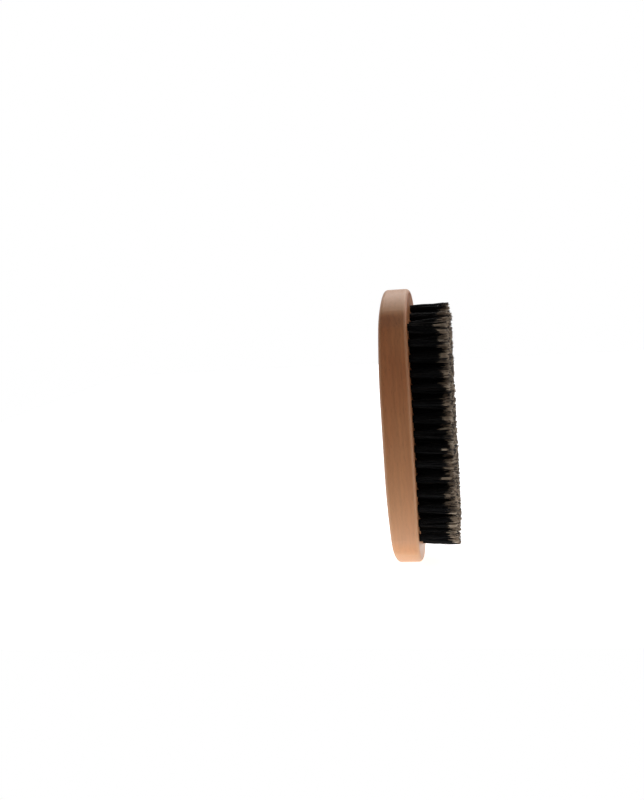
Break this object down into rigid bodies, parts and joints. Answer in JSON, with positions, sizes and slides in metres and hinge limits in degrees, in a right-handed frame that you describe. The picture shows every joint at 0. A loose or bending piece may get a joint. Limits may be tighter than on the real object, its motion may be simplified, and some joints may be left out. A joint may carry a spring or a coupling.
{
  "type": "beard brush",
  "caption": "Palm-size beard brush: rounded one-piece wooden block with a crowned back, drilled and filled with rows of black bristle tufts.",
  "frame": {"origin": "below the middle of the brush, at the lower end that it stands on", "axes": "+Z along the brush, +X the way the bristles point, Y across the width"},
  "size_m": [0.0308, 0.049, 0.128],
  "materials": {
    "wood": "satin oiled close-grained hardwood",
    "bristle": "natural bristle, black with paler tan tips",
    "anchor_wire": "flat drawn wire"
  },
  "bodies": {
    "root": {"handle_block": "wood", "bristle_row_1": "bristle", "bristle_row_2": "bristle", "bristle_row_3": "bristle", "bristle_row_4": "bristle", "bristle_row_5": "bristle", "bristle_row_6": "bristle", "bristle_row_7": "bristle", "bristle_row_8": "bristle", "bristle_row_9": "bristle", "anchor_row_1": "anchor_wire", "anchor_row_2": "anchor_wire", "anchor_row_3": "anchor_wire", "anchor_row_4": "anchor_wire", "anchor_row_5": "anchor_wire", "anchor_row_6": "anchor_wire", "anchor_row_7": "anchor_wire", "anchor_row_8": "anchor_wire", "anchor_row_9": "anchor_wire"}
  },
  "joints": []
}
